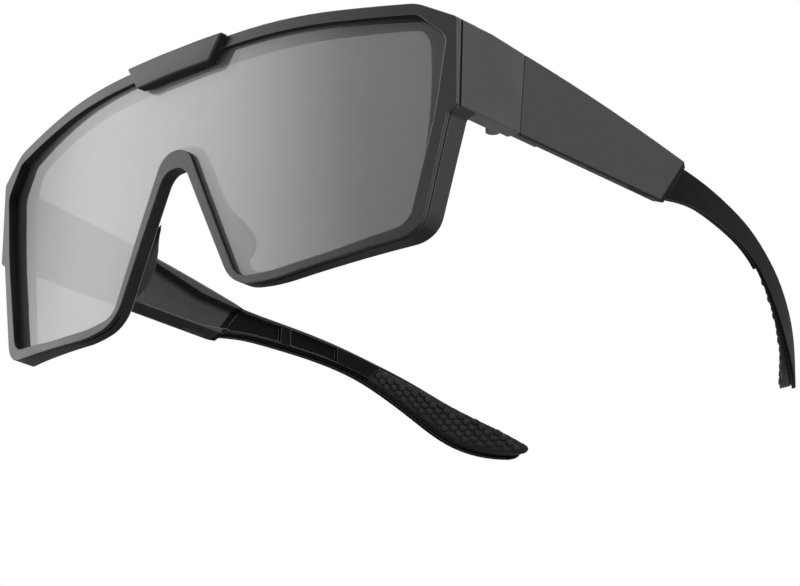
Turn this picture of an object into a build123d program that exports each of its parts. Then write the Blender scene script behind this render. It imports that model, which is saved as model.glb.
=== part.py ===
from build123d import *
from math import atan2, cos, degrees, hypot, radians, sin, sqrt, tan
import os

# Driving sizes: the whole part follows these, in mm
overall_width = 150.0
front_height = 62.0
arm_length = 140.0
end_piece_depth = 33.5

# The curve of the front: one upright cylinder for the face, one for the lens, one for the back
face_radius = 230.0
lens_radius = 208.0
back_radius = 185.0
face_setback = 2.3
front_lean_deg = 1.7
rim_depth = 3.9
rim_edge = 0.6

# The lens and the groove that holds it
lens_recess = 1.3
lens_thickness = 1.4
lens_tuck = 0.85
groove_side_clearance = 0.08
groove_end_clearance = 0.15

# Small forms of the moulding
face_plate = 0.9
face_groove_width = 0.6
face_groove_depth = 0.45
corner_groove_width = 0.9
corner_groove_depth = 0.7

# Outlines of the front, right half: x share of the half width, z share of the height, and how much
# of its shorter neighbouring edge each corner's round takes
face_outline_shares = [
    (0.453, 0.006, 0.385),
    (0.877, -0.058, 0.173),
    (1.000, -0.136, 0.072),
    (1.000, -0.465, 0.248),
    (0.971, -0.489, 0.149),
    (0.892, -0.918, 0.218),
    (0.600, -0.961, 0.150),
    (0.393, -0.990, 0.435),
    (0.253, -0.971, 0.500),
    (0.044, -0.451, 0.435),
]

# The opening of the rim, which is the part of the lens that shows
opening_outline_shares = [
    (0.453, -0.037, 0.379),
    (0.877, -0.100, 0.108),
    (0.968, -0.203, 0.172),
    (0.936, -0.484, 0.234),
    (0.856, -0.881, 0.169),
    (0.600, -0.931, 0.124),
    (0.393, -0.955, 0.351),
    (0.269, -0.945, 0.340),
    (0.053, -0.379, 0.470),
]
# The opening behind the lens, which is smaller and leaves a lip for the lens
back_outline_shares = [
    (0.453, -0.074, 0.282),
    (0.883, -0.122, 0.294),
    (0.893, -0.419, 0.600),
    (0.835, -0.858, 0.199),
    (0.600, -0.906, 0.123),
    (0.393, -0.932, 0.450),
    (0.291, -0.922, 0.340),
    (0.072, -0.355, 0.420),
]

# End pieces, where the temples are hinged
end_top_share = 0.139
end_top_rear_share = 0.155
end_bottom_share = 0.465
end_piece_thickness = 3.9
end_fillet = 2.4
web_width = 1.6
seam_slant = 1.2
seam_gap = 0.35
knuckle_relief = 0.45

# Hinge: knuckles, leaves and screws
hinge_height = 12.0
hinge_lift = 0.8
knuckle_radius = 1.6
pin_radius = 0.8
pin_clearance = 0.05
pin_setback = 3.3
knuckle_gap = 0.3
middle_knuckle_share = 0.44
leaf_thickness = 0.9
leaf_length = 8.5
leaf_offset = 3.4
leaf_room = 0.35
leaf_setback = 1.1
leaf_inset = 0.6
leaf_screw_radius = 0.65
leaf_screw_head_radius = 1.25
leaf_screw_head_height = 0.6
leaf_screw_length = 3.1
leaf_screw_spacing = 6.0
leaf_screw_clearance = 0.04
screw_head_radius = 1.3
screw_head_height = 0.7
slot_width = 0.4
slot_depth = 0.3

# Temple side view: upper and lower edge, along the arm from the seam and down from the datum
arm_top_shares = [
    (0.120, -0.179), (0.190, -0.197), (0.300, -0.231)]
panel_end_top_share = 0.268
core_top_shares = [
    (0.270, -0.248), (0.420, -0.289), (0.470, -0.296), (0.550, -0.310), (0.640, -0.339),
    (0.720, -0.384), (0.785, -0.432), (0.840, -0.487), (0.900, -0.553), (0.940, -0.602),
    (0.971, -0.648)]
core_bottom_shares = [
    (0.966, -0.722), (0.935, -0.724), (0.900, -0.713), (0.855, -0.676), (0.800, -0.602),
    (0.735, -0.519), (0.677, -0.465), (0.600, -0.431), (0.540, -0.421), (0.480, -0.418),
    (0.420, -0.424), (0.365, -0.446), (0.320, -0.465)]
tip_bulge = 1.7

# Temple plan view: how far the outer face lies inside the widest point, along the arm
core_plan_shares = [
    (0.200, 0.0093), (0.380, 0.0100), (0.460, 0.022), (0.550, 0.051), (0.640, 0.087),
    (0.720, 0.130), (0.785, 0.173), (0.850, 0.226), (0.905, 0.283), (0.950, 0.339),
    (1.040, 0.460)]
arm_thickness = 3.9
core_thickness = 2.3
core_shell = 1.0
core_inset = 1.0
panel_step = 0.7
panel_bevel = 1.9
panel_top_bevel = 1.4
panel_end_share = 0.342
panel_slant_share = 0.062

# Slopes of the end piece and the panel towards their inner side
edge_flat = 0.9
top_drop = 2.2
bottom_rise = 1.2

# The two pockets inside the temple
pocket_wall = 1.6
pocket_floor = 1.3
pocket_top_drop = 1.2
pocket_start_share = 0.155
pocket_end_share = 0.498
pocket_end_round = 1.0
pocket_steps = 8
rib_share = 0.022
second_pocket_share = 0.104
second_pocket_wall = 1.4

# Grip pads on the tips
grip_start_share = 0.722
grip_slant_deg = 42.0
grip_thickness = 0.5
grip_swell = 2.5
grip_seat = 1.2
grip_end_gap = 0.05
grip_inset = 0.9
grip_peg_radius = 0.7
grip_peg_clearance = 0.03
grip_peg_length = 0.7
grip_peg_shares = (0.795, 0.905)

# Brow trim: a raised trapezoid with two pegs
brow_top_share = 0.211
brow_bottom_share = 0.160
brow_height = 6.1
brow_rise = 0.35
brow_thickness = 2.0
brow_lip = 0.55
brow_edge = 0.3
brow_peg_radius = 0.7
brow_peg_length = 1.0
brow_peg_share = 0.12
brow_peg_clearance = 0.03

# Nose saddle: a band behind the arch and two splayed pads
band_width = 2.0
band_inset = 1.5
band_depth = 0.6
band_foot_share = 0.80
pad_length = 26.0
pad_reach = 5.6
pad_shoulder = 0.55
pad_sink = 0.8
pad_thickness = 1.8
pad_splay_deg = 26.0
pad_height_share = 0.765
pad_edge = 0.6
saddle_peg_radius = 0.5
saddle_peg_length = 0.7
saddle_peg_clearance = 0.03
saddle_peg_shares = (0.56, 0.77)

half_width = overall_width / 2
end_top = -end_top_share * front_height
end_top_rear = -end_top_rear_share * front_height
end_bottom = -end_bottom_share * front_height
mid_height = -front_height / 2
corner_y = face_setback + half_width**2 / (2 * face_radius)
seam_y = face_setback + end_piece_depth
arm_y = seam_y + seam_gap
inner_x = half_width - end_piece_thickness
pin_x = inner_x - knuckle_radius
pin_y = seam_y - pin_setback
hinge_base = end_bottom + hinge_lift
hinge_top = hinge_base + hinge_height


# Outlines and sweeps


def rounded_face(corners):
    """A face with straight edges and a round at every corner."""
    edges = []
    ends = []
    for i, (x, z, reach) in enumerate(corners):
        ax, az, _ = corners[i - 1]
        bx, bz, _ = corners[(i + 1) % len(corners)]
        ul = hypot(ax - x, az - z)
        vl = hypot(bx - x, bz - z)
        ux, uz = (ax - x) / ul, (az - z) / ul
        vx, vz = (bx - x) / vl, (bz - z) / vl
        half = abs(atan2(ux * vz - uz * vx, ux * vx + uz * vz)) / 2
        back = reach * min(ul, vl)
        r = back * tan(half)
        wl = hypot(ux + vx, uz + vz)
        near = r / sin(half) - r
        first = (x + ux * back, z + uz * back)
        middle = (x + (ux + vx) / wl * near, z + (uz + vz) / wl * near)
        final = (x + vx * back, z + vz * back)
        edges.append(ThreePointArc(first, middle, final))
        ends.append((first, final))
    for i, (first, final) in enumerate(ends):
        edges.append(Line(final, ends[(i + 1) % len(ends)][0]))
    return make_face(edges)


def both_halves(shares):
    """Corners of a mirrored outline from the shares of its right half."""
    half = [(x * half_width, z * front_height, reach) for x, z, reach in shares]
    return half + [(-x, z, reach) for x, z, reach in reversed(half)]


def along_y(face, y_from, y_to):
    """A front-view outline (x, z), carried from one depth to another."""
    return extrude(Plane.XZ.offset(-y_to) * face, amount=y_to - y_from)


def along_x(face, x_from, x_to):
    """A side-view outline (y, z), carried across."""
    return extrude(Plane.YZ.offset(x_from) * face, amount=x_to - x_from)


def along_z(face, z_from, z_to):
    """A plan-view outline (x, y), carried up."""
    return extrude(Plane.XY.offset(z_from) * face, amount=z_to - z_from)


def mirrored(shape):
    """The same shape on the wearer's right."""
    return mirror(shape, about=Plane.YZ)


def behind(radius, depth):
    """Everything behind one curved surface of the front, which leans back a little."""
    drum = Pos(0, face_setback + depth + radius, mid_height) * Cylinder(radius, 4 * front_height)
    return drum.rotate(Axis((0, face_setback, mid_height), (1, 0, 0)), front_lean_deg)


def slab(face, front_radius, front_depth, rear_radius, rear_depth):
    """A front-view outline between two curved surfaces."""
    block = along_y(face, -face_setback, end_piece_depth)
    return (block & behind(front_radius, front_depth)) - behind(rear_radius, rear_depth)


def surface_y(radius, depth, x, z=mid_height):
    """Depth of a curved surface at one distance from the middle and one height."""
    lean = (mid_height - z) * tan(radians(front_lean_deg))
    return face_setback + depth + radius - sqrt(radius**2 - x**2) + lean


# The front moulding


def seam_at(base, z):
    """Depth of the slanted hinge seam at one height."""
    return base + seam_slant * (z - (end_top_rear + end_bottom) / 2) / (end_top_rear - end_bottom)


def end_side_face(drop=0, rise=0):
    """Side view of one end piece, from the face back to the hinge seam."""
    start = face_setback
    rear = end_top_rear - drop
    low = end_bottom + rise
    outline = Polyline(
        (start, end_top - drop), (corner_y + end_piece_depth / 3, end_top - drop),
        (seam_at(seam_y, rear), rear), (seam_at(seam_y, low), low), (start, low), close=True)
    return make_face(outline)


def sloped_block(side_view, drop, rise):
    """A side view carried across, its inner edges lowered above and raised below."""
    flat_x = half_width - edge_flat
    outer = along_x(side_view(), flat_x, half_width)
    inner = loft([
        Plane.YZ.offset(inner_x) * side_view(drop, rise), Plane.YZ.offset(flat_x) * side_view()], ruled=True)
    return outer + inner


def end_piece():
    """The block that carries the hinge, on the wearer's left."""
    block = sloped_block(end_side_face, top_drop, 0) & behind(face_radius, 0)
    relief = Pos(inner_x, pin_y - knuckle_radius - knuckle_relief, end_bottom - hinge_lift) * Box(
        knuckle_relief * 2, end_piece_depth, front_height, align=(Align.CENTER, Align.MIN, Align.MIN))
    return block - relief


def end_web():
    """The rounded inside corner between the end piece and the lower rim."""
    rear = surface_y(back_radius, rim_depth, inner_x)
    web = Pos(inner_x, rear - end_fillet, end_bottom) * Box(
        web_width, end_fillet * 2, end_fillet, align=(Align.MIN, Align.MIN, Align.MAX))
    bite = Pos(inner_x, rear + end_fillet, end_bottom - end_fillet) * (
        Rotation(0, 90, 0) * Cylinder(end_fillet, front_height))
    return web - bite


def corner_grooves():
    """The fine upright groove where the face meets each end piece."""
    near = corner_y + corner_groove_width
    cut = Pos(half_width, near, end_top + end_fillet) * Box(
        corner_groove_depth * 2, corner_groove_width, front_height / 2,
        align=(Align.CENTER, Align.MIN, Align.MAX))
    return cut, mirrored(cut)


def face_grooves():
    """The fine groove behind the face plate, along the sides and the bottom."""
    face = rounded_face(both_halves(face_outline_shares))
    core = offset(face, -face_groove_depth, kind=Kind.INTERSECTION)
    strip = slab(face - core, face_radius, face_plate, face_radius, face_plate + face_groove_width)
    start = face_outline_shares[-2][0] * half_width
    side = Pos(start, 0, end_bottom - end_fillet / 2) * Box(
        half_width, overall_width, front_height, align=(Align.MIN, Align.CENTER, Align.MAX))
    return strip & side, strip & mirrored(side)


def front_body():
    """Rim, nose arch and end pieces before the lens groove is cut."""
    face = rounded_face(both_halves(face_outline_shares))
    body = slab(face, face_radius, 0, back_radius, rim_depth)
    rear = body.faces().sort_by(SortBy.AREA)[-2:].sort_by(Axis.Y)[-1]
    body = chamfer(rear.edges(), rim_edge)
    for groove in face_grooves():
        body -= groove
    body += end_piece() + end_web()
    body += mirrored(end_piece() + end_web())
    return body


def front_frame():
    """The one-piece front with its lens groove, peg holes and screw holes."""
    opening = rounded_face(both_halves(opening_outline_shares))
    lens_back = lens_recess + lens_thickness + groove_side_clearance
    groove = offset(opening, lens_tuck + groove_end_clearance, kind=Kind.INTERSECTION)
    body = front_body()
    body -= slab(opening, face_radius, -lens_recess, lens_radius, lens_recess + lens_thickness)
    body -= slab(rounded_face(both_halves(back_outline_shares)), lens_radius, lens_recess, back_radius, rim_depth * 2)
    body -= slab(groove, lens_radius, lens_recess - groove_side_clearance, lens_radius, lens_back)
    for cut in corner_grooves():
        body -= cut
    for hole in leaf_screws(front_leaf_screw_places(), leaf_screw_clearance, False):
        body = body - hole - mirrored(hole)
    for peg in brow_pegs(brow_peg_clearance) + saddle_pegs(saddle_peg_clearance):
        body -= peg
    return body


def shield_lens():
    """One curved lens, tucked into the groove all round."""
    opening = rounded_face(both_halves(opening_outline_shares))
    outline = offset(opening, lens_tuck, kind=Kind.INTERSECTION)
    return slab(outline, lens_radius, lens_recess, lens_radius, lens_recess + lens_thickness)


# Brow trim


def brow_pegs(clearance):
    """Pegs of the trim, or their holes with a clearance."""
    z = (face_outline_shares[0][1] + opening_outline_shares[0][1]) / 2 * front_height
    pegs = []
    for side in (-1, 1):
        x = side * brow_peg_share * half_width
        start = surface_y(face_radius, 0, x, z) - brow_thickness / 2
        peg = Pos(x, start, z) * (Rotation(-90, 0, 0) * Cylinder(
            brow_peg_radius + clearance, brow_thickness / 2 + brow_peg_length + clearance,
            align=(Align.CENTER, Align.CENTER, Align.MIN)))
        pegs.append(peg)
    return pegs


def brow_plate():
    """Raised trapezoid trim over the middle of the upper rim."""
    top = front_height * face_outline_shares[0][1] + brow_rise
    low = top - brow_height
    wide = brow_top_share * half_width
    narrow = brow_bottom_share * half_width
    face = make_face(Polyline((-wide, top), (wide, top), (narrow, low), (-narrow, low), close=True))
    lip_top = opening_outline_shares[0][1] * front_height - brow_lip / 2
    lip = make_face(Polyline(
        (-wide, lip_top), (wide, lip_top), (narrow, low), (-narrow, low), close=True))
    plate = slab(face, face_radius, -brow_thickness, face_radius, 0)
    plate += slab(lip, face_radius, -brow_thickness, face_radius, brow_lip) & along_y(
        face, -brow_thickness, end_piece_depth)
    front = plate.edges().filter_by(lambda e: e.center().Y < face_setback - brow_thickness / 2)
    plate = chamfer(front, brow_edge)
    for peg in brow_pegs(0):
        plate += peg
    return plate


# Nose saddle


def saddle_path(share):
    """Distance from the middle to the nose side of an arch leg, at one share of the height."""
    x0, z0, _ = face_outline_shares[-1]
    x1, z1, _ = face_outline_shares[-2]
    return (x0 + (x1 - x0) * (share + z0) / (z0 - z1)) * half_width


def saddle_pegs(clearance):
    """Pegs of the saddle, or their holes with a clearance."""
    pegs = []
    for share in saddle_peg_shares:
        for side in (-1, 1):
            x = side * (saddle_path(share) + band_inset + band_width / 2)
            start = surface_y(back_radius, rim_depth, x, -share * front_height) + band_depth / 2
            peg = Pos(x, start, -share * front_height) * (Rotation(90, 0, 0) * Cylinder(
                saddle_peg_radius + clearance, band_depth / 2 + saddle_peg_length + clearance,
                align=(Align.CENTER, Align.CENTER, Align.MIN)))
            pegs.append(peg)
    return pegs


def saddle_band():
    """The band that follows the arch behind the rim."""
    top_x = face_outline_shares[-1][0] * half_width
    top_z = face_outline_shares[-1][1] * front_height
    foot = -band_foot_share * front_height
    foot_x = saddle_path(band_foot_share)
    near, far = band_inset, band_inset + band_width
    half = [
        (foot_x + near, foot, 0), (top_x + near, top_z + near, 0),
        (top_x + far * 0.8, top_z + far, 0), (foot_x + far, foot, 0)]
    outline = Polyline(
        *[(x, z) for x, z, _ in half[:2]], *[(-x, z) for x, z, _ in reversed(half[:2])],
        *[(-x, z) for x, z, _ in reversed(half[2:])], *[(x, z) for x, z, _ in half[2:]], close=True)
    return slab(make_face(outline), back_radius, rim_depth, back_radius, rim_depth + band_depth)


def pad_plane():
    """The plane of the left nose pad: it follows the leg and splays out to the rear."""
    x0, z0, _ = face_outline_shares[-1]
    x1, z1, _ = face_outline_shares[-2]
    leg = atan2((x1 - x0) * half_width, (z0 - z1) * front_height)
    splay = radians(pad_splay_deg)
    deep = Vector(sin(splay), cos(splay), 0)
    normal = deep.cross(Vector(sin(leg), 0, -cos(leg)))
    x = saddle_path(pad_height_share) + band_inset + pad_thickness / 2
    z = -pad_height_share * front_height
    front = Vector(x, surface_y(back_radius, rim_depth, x, z), z)
    return Plane(front - deep * pad_sink, x_dir=deep, z_dir=normal)


def nose_pad():
    """One soft pad that swells out behind the leg of the arch."""
    half = pad_length / 2
    far = pad_reach + pad_sink
    swell = [
        (0, -half), (far * pad_shoulder, -half / 2), (far, 0), (far * pad_shoulder, half / 2), (0, half)]
    outline = make_face([Spline(swell, tangents=[(0, 1), (0, 1)]), Line(swell[-1], swell[0])])
    pad = extrude(outline, amount=pad_thickness / 2, both=True)
    rims = pad.edges().filter_by(lambda e: e.center().X > far * pad_shoulder / 2)
    pad = chamfer(rims, pad_edge)
    return (pad_plane() * pad) & behind(back_radius, rim_depth)


def nose_saddle():
    """Soft saddle: the band, two splayed pads and the pegs."""
    pad = nose_pad()
    saddle = saddle_band() + pad + mirrored(pad)
    for peg in saddle_pegs(0):
        saddle += peg
    return saddle


# Hinge


def upright(radius, x, y, z_from, z_to):
    """An upright round bar."""
    return Pos(x, y, z_from) * Cylinder(radius, z_to - z_from, align=(Align.CENTER, Align.CENTER, Align.MIN))


def knuckle_levels():
    """Lower and upper limits of the three knuckles, from the bottom."""
    middle = middle_knuckle_share * hinge_height
    outer = (hinge_height - middle) / 2 - knuckle_gap
    return [
        (hinge_base, hinge_base + outer),
        (hinge_base + outer + knuckle_gap, hinge_top - outer - knuckle_gap),
        (hinge_top - outer, hinge_top)]


def leaf(plate_from, plate_to, levels):
    """A hinge leaf: a plate against the inner side, with knuckles round the pin."""
    x = inner_x - leaf_thickness
    plate = Pos(x, plate_from, hinge_base + leaf_inset) * Box(
        leaf_thickness, plate_to - plate_from, hinge_height - 2 * leaf_inset, align=Align.MIN)
    near = min(pin_y, plate_from)
    far = max(pin_y, plate_to)
    for low, high in levels:
        arm = Pos(x, near, low) * Box(leaf_thickness, far - near, high - low, align=Align.MIN)
        trim = Pos(x, plate_from, low) * Box(leaf_thickness, plate_to - plate_from, high - low, align=Align.MIN)
        plate += (arm - trim) + (trim & plate) + upright(knuckle_radius, pin_x, pin_y, low, high)
    return plate - upright(pin_radius + pin_clearance, pin_x, pin_y, hinge_base, hinge_top)


def front_leaf_ends():
    """Where a front leaf starts, close behind the rim, and where its plate ends."""
    start = surface_y(back_radius, rim_depth, inner_x, end_bottom) + leaf_room
    return start, pin_y - leaf_offset


def front_leaf_screw_places():
    """Where the screws of a front leaf sit: depth and height."""
    start, end = front_leaf_ends()
    return [((start + end) / 2, level) for level in leaf_screw_levels()]


def temple_leaf_screw_places():
    """Where the screws of a temple leaf sit: depth and height."""
    y = arm_y + leaf_setback + leaf_length / 2
    return [(y, level) for level in leaf_screw_levels()]


def leaf_screw_levels():
    """Heights of the two screws of a leaf."""
    middle = (hinge_base + hinge_top) / 2
    return [middle - leaf_screw_spacing / 2, middle + leaf_screw_spacing / 2]


def leaf_screws(places, clearance, slotted):
    """Countersunk screws of one leaf, or their holes with a clearance."""
    x = inner_x - leaf_thickness
    screws = []
    for y, z in places:
        shank = Pos(x, y, z) * (Rotation(0, 90, 0) * Cylinder(
            leaf_screw_radius + clearance, leaf_screw_length + clearance,
            align=(Align.CENTER, Align.CENTER, Align.MIN)))
        head = Pos(x, y, z) * (Rotation(0, 90, 0) * Cone(
            leaf_screw_head_radius + clearance, leaf_screw_radius + clearance, leaf_screw_head_height,
            align=(Align.CENTER, Align.CENTER, Align.MIN)))
        screw = shank + head
        if slotted:
            screw -= Pos(x, y, z) * Box(slot_depth * 2, slot_width, front_height)
        screws.append(screw)
    return screws


def hinge_leaf_front():
    """Leaf with two knuckles, screwed to the end piece."""
    low, _, high = knuckle_levels()
    start, _ = front_leaf_ends()
    shape = leaf(start, pin_y - knuckle_radius - knuckle_relief, [low, high])
    for hole in leaf_screws(front_leaf_screw_places(), leaf_screw_clearance, False):
        shape -= hole
    return shape


def hinge_leaf_temple():
    """Leaf with one knuckle, screwed to the temple."""
    start = arm_y + leaf_setback
    shape = leaf(start, start + leaf_length, [knuckle_levels()[1]])
    for hole in leaf_screws(temple_leaf_screw_places(), leaf_screw_clearance, False):
        shape -= hole
    return shape


def hinge_screw():
    """The pivot: a slotted head over the upper knuckle and a plain shank."""
    screw = upright(pin_radius, pin_x, pin_y, hinge_base, hinge_top)
    screw += upright(screw_head_radius, pin_x, pin_y, hinge_top, hinge_top + screw_head_height)
    slot = Pos(pin_x, pin_y, hinge_top + screw_head_height) * Box(front_height, slot_width, slot_depth * 2)
    return screw - slot


# Temples


def arm_point(along, down):
    """A point of the side view from its shares: depth and height."""
    return (arm_y + along * arm_length, down * front_height)


def edge_at(shares, along):
    """Height share of an edge table at one place, by straight steps."""
    for (a0, d0), (a1, d1) in zip(shares, shares[1:]):
        if a0 <= along <= a1:
            return d0 + (d1 - d0) * (along - a0) / (a1 - a0)
    return shares[-1][1]


def panel_side(drop=0, rise=0):
    """Side view of the tall front part of a temple, which ends on a slant."""
    top = [arm_point(*p) for p in arm_top_shares]
    top.append(arm_point(panel_end_share + panel_slant_share, -panel_end_top_share))
    top = [(y, z - drop) for y, z in top]
    top.insert(0, (seam_at(arm_y, end_top_rear - drop), end_top_rear - drop))
    shoulder = (top[-1][0] + panel_bevel, top[-1][1] - panel_top_bevel)
    foot_y, foot_z = arm_point(panel_end_share, -end_bottom_share)
    foot = (foot_y + panel_bevel, foot_z + rise)
    low = (seam_at(arm_y, end_bottom + rise), end_bottom + rise)
    return make_face([
        Spline(top), Line(top[-1], shoulder), Line(shoulder, foot), Line(foot, low), Line(low, top[0])])


def core_side(inset):
    """Side view of the slim rear part of a temple, or of its smaller inner layer."""
    top = [(y, z - inset) for y, z in (arm_point(*p) for p in core_top_shares)]
    bottom = [(y, z + inset) for y, z in (arm_point(*p) for p in core_bottom_shares)]
    (ya, za), (yb, zb) = top[-1], bottom[0]
    chord = hypot(ya - yb, za - zb)
    bulge = tip_bulge - inset / 2
    middle = ((ya + yb) / 2 + (za - zb) / chord * bulge, (za + zb) / 2 - (ya - yb) / chord * bulge)
    end = (top[0][0], bottom[-1][1])
    return make_face([
        Spline(top), ThreePointArc(top[-1], middle, bottom[0]), Spline(bottom),
        Line(bottom[-1], end), Line(end, top[0])])


def plan_line(inset, swell=0):
    """Plan-view points of the temple's outer face, moved inwards, and more so towards the tip."""
    points = [(half_width * (1 - s), arm_y + a * arm_length) for a, s in core_plan_shares]
    moved = []
    for i, (x, y) in enumerate(points):
        ax, ay = points[max(i - 1, 0)]
        bx, by = points[min(i + 1, len(points) - 1)]
        size = hypot(bx - ax, by - ay)
        run = max(core_plan_shares[i][0] - grip_start_share, 0) / (1 - grip_start_share)
        move = inset + swell * run * sqrt(run)
        moved.append((x - (by - ay) / size * move, y + (bx - ax) / size * move))
    return moved


def plan_band(outer_inset, inner_inset, swell=0):
    """Everything between two lines that run with the outer face."""
    outer = plan_line(outer_inset)
    inner = plan_line(inner_inset, swell)
    face = make_face([
        Spline(outer), Line(outer[-1], inner[-1]), Spline(inner[::-1]), Line(inner[0], outer[0])])
    return along_z(face, -2 * front_height, front_height)


def panel_block(outer_inset, depth):
    """The raised panel in space: its rear end slopes back to the slim part."""
    down = (panel_slant_share * arm_length, (end_bottom_share - panel_end_top_share) * front_height)
    start = half_width - outer_inset
    rear = arm_y + panel_end_share * arm_length
    face = make_face(Polyline(
        (start, face_setback), (start, rear), (start - panel_step, rear + panel_bevel),
        (start - depth, rear + panel_bevel), (start - depth, face_setback), close=True))
    shift = down[0] / down[1]
    tall = front_height
    low = Plane((0, -shift * tall / 2, end_bottom - tall / 2), x_dir=(1, 0, 0), z_dir=(0, 0, 1))
    return extrude(low * face, amount=tall * 2, dir=Vector(0, shift, 1).normalized())


def tip_room(start_gap):
    """All the space behind the slanted start of the grip."""
    y, z = arm_point(grip_start_share, edge_at(core_top_shares, grip_start_share))
    room = Pos(0, start_gap, 0) * Box(
        overall_width, arm_length, 4 * front_height, align=(Align.MIN, Align.MIN, Align.CENTER))
    return Pos(0, y, z) * (Rotation(-grip_slant_deg, 0, 0) * room)


def core_block(near, far, inset, swell=0):
    """A layer of the slim rear part of the temple, between two depths from its outer face."""
    return along_x(core_side(inset), 0, overall_width) & plan_band(near, far, swell)


def inner_edge(start, end, wall, drop=0):
    """Side-view line under the upper edge and line over the lower edge, between two places."""
    places = [start + (end - start) * i / pocket_steps for i in range(pocket_steps + 1)]
    low_line = list(reversed(core_bottom_shares))
    top = []
    low = []
    for a in places:
        upper = edge_at(arm_top_shares if a < arm_top_shares[-1][0] else core_top_shares, a)
        lower = edge_at(low_line, a) if a > low_line[0][0] else -end_bottom_share
        top.append(arm_point(a, upper - wall / front_height))
        low.append(arm_point(a, lower + wall / front_height))
    return top, low


def first_pocket():
    """The long pocket on the inner side, with a rounded rear end."""
    panel_top, panel_low = inner_edge(pocket_start_share, arm_top_shares[-1][0], pocket_wall)
    core_top, core_low = inner_edge(panel_end_share + panel_slant_share, pocket_end_share, pocket_wall)
    panel_top = [(y, z - pocket_top_drop) for y, z in panel_top]
    top = [panel_top[0], panel_top[-1]] + core_top[1:]
    low = [core_low[-1]] + core_low[1:-1][::-1] + [panel_low[-1], panel_low[0]]
    side = make_face(Polyline(*top, *low, close=True))
    side = fillet(side.vertices().sort_by(Axis.Y)[-2:], pocket_end_round)
    room = panel_block(pocket_floor, arm_thickness * 2) + plan_band(pocket_floor, arm_thickness * 3)
    return along_x(side, 0, overall_width) & room


def second_pocket():
    """The tapering pocket behind the rib."""
    start = pocket_end_share + rib_share
    top, low = inner_edge(start, start + second_pocket_share, second_pocket_wall)
    side = make_face(Polyline(*top, *low[::-1], close=True))
    return along_x(side, 0, overall_width) & plan_band(pocket_floor, arm_thickness * 3)


def grip_pegs(clearance):
    """Pegs of the grip pad, or their holes with a clearance."""
    low_line = list(reversed(core_bottom_shares))
    line = plan_line(grip_seat)
    pegs = []
    for share in grip_peg_shares:
        y, top = arm_point(share, edge_at(core_top_shares, share))
        _, low = arm_point(share, edge_at(low_line, share))
        places = zip(line, line[1:])
        (xa, ya), (xb, yb) = [(a, b) for a, b in places if a[1] <= y <= b[1]][0]
        x = xa + (xb - xa) * (y - ya) / (yb - ya)
        turn = degrees(atan2(xa - xb, yb - ya))
        peg = Cylinder(
            grip_peg_radius + clearance, grip_thickness / 2 + grip_peg_length + clearance,
            align=(Align.CENTER, Align.CENTER, Align.MIN))
        peg = Pos(-grip_thickness / 2, 0, 0) * (Rotation(0, 90, 0) * peg)
        pegs.append(Pos(x, y, (top + low) / 2) * (Rotation(0, 0, turn) * peg))
    return pegs


def temple_grip():
    """Soft pad that covers the inner face of the tip."""
    pad = core_block(grip_seat, grip_seat + grip_thickness, grip_inset, grip_swell) & tip_room(grip_end_gap)
    for peg in grip_pegs(0):
        pad += peg
    return pad


def temple():
    """One arm: a tall panel, a slim curved rear and the pockets, on the wearer's left."""
    tall = sloped_block(panel_side, top_drop, bottom_rise) & panel_block(0, arm_thickness)
    slim = core_block(0, core_shell, 0) + core_block(core_shell / 2, core_thickness, core_inset)
    arm = tall + slim - first_pocket() - second_pocket()
    arm -= plan_band(grip_seat, arm_thickness * 2) & tip_room(0)
    for hole in leaf_screws(temple_leaf_screw_places(), leaf_screw_clearance, False):
        arm -= hole
    for hole in grip_pegs(grip_peg_clearance):
        arm -= hole
    return arm


# Output


def build_nodes():
    left = {
        "hinge_leaf_front": hinge_leaf_front(),
        "hinge_leaf_temple": hinge_leaf_temple(),
        "hinge_screw": hinge_screw(),
        "temple": temple(),
        "temple_grip": temple_grip(),
    }
    temple_screws = leaf_screws(temple_leaf_screw_places(), 0, True)
    front_screws = leaf_screws(front_leaf_screw_places(), 0, True)
    nodes = {
        "front_frame": front_frame(),
        "shield_lens": shield_lens(),
        "brow_plate": brow_plate(),
        "nose_saddle": nose_saddle(),
        "front_leaf_screws": Compound(children=front_screws + [mirrored(s) for s in front_screws]),
        "temple_leaf_screws_left": Compound(children=temple_screws),
        "temple_leaf_screws_right": Compound(children=[mirrored(s) for s in temple_screws]),
    }
    for name, shape in left.items():
        nodes[name + "_left"] = shape
        nodes[name + "_right"] = mirrored(shape)
    return nodes


def home_move(nodes):
    """The move that puts the middle of the base at the origin."""
    boxes = [shape.bounding_box() for shape in nodes.values()]
    front = min(box.min.Y for box in boxes)
    rear = max(box.max.Y for box in boxes)
    base = min(box.min.Z for box in boxes)
    return -(front + rear) / 2, -base


def main():
    os.makedirs("parts", exist_ok=True)
    nodes = build_nodes()
    back, up = home_move(nodes)
    for name, shape in nodes.items():
        export_step(Pos(0, back, up) * shape, "parts/" + name + ".step")
    print("moved by", back, up)
    print("pin at", pin_x, pin_y + back, hinge_base + up, hinge_top + up)


main()
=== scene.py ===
# %% [markdown]
# # Fitover sunglasses
# A one-piece shield in a deep, roomy frame, with two folding arms that end in rubber grips.
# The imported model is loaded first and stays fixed: every size below is read from it or set against
# it, so that the looks can never drift away from the part.

# %% Load the frame
import math

import bmesh
import bpy
from mathutils import Matrix, Quaternion, Vector


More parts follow.
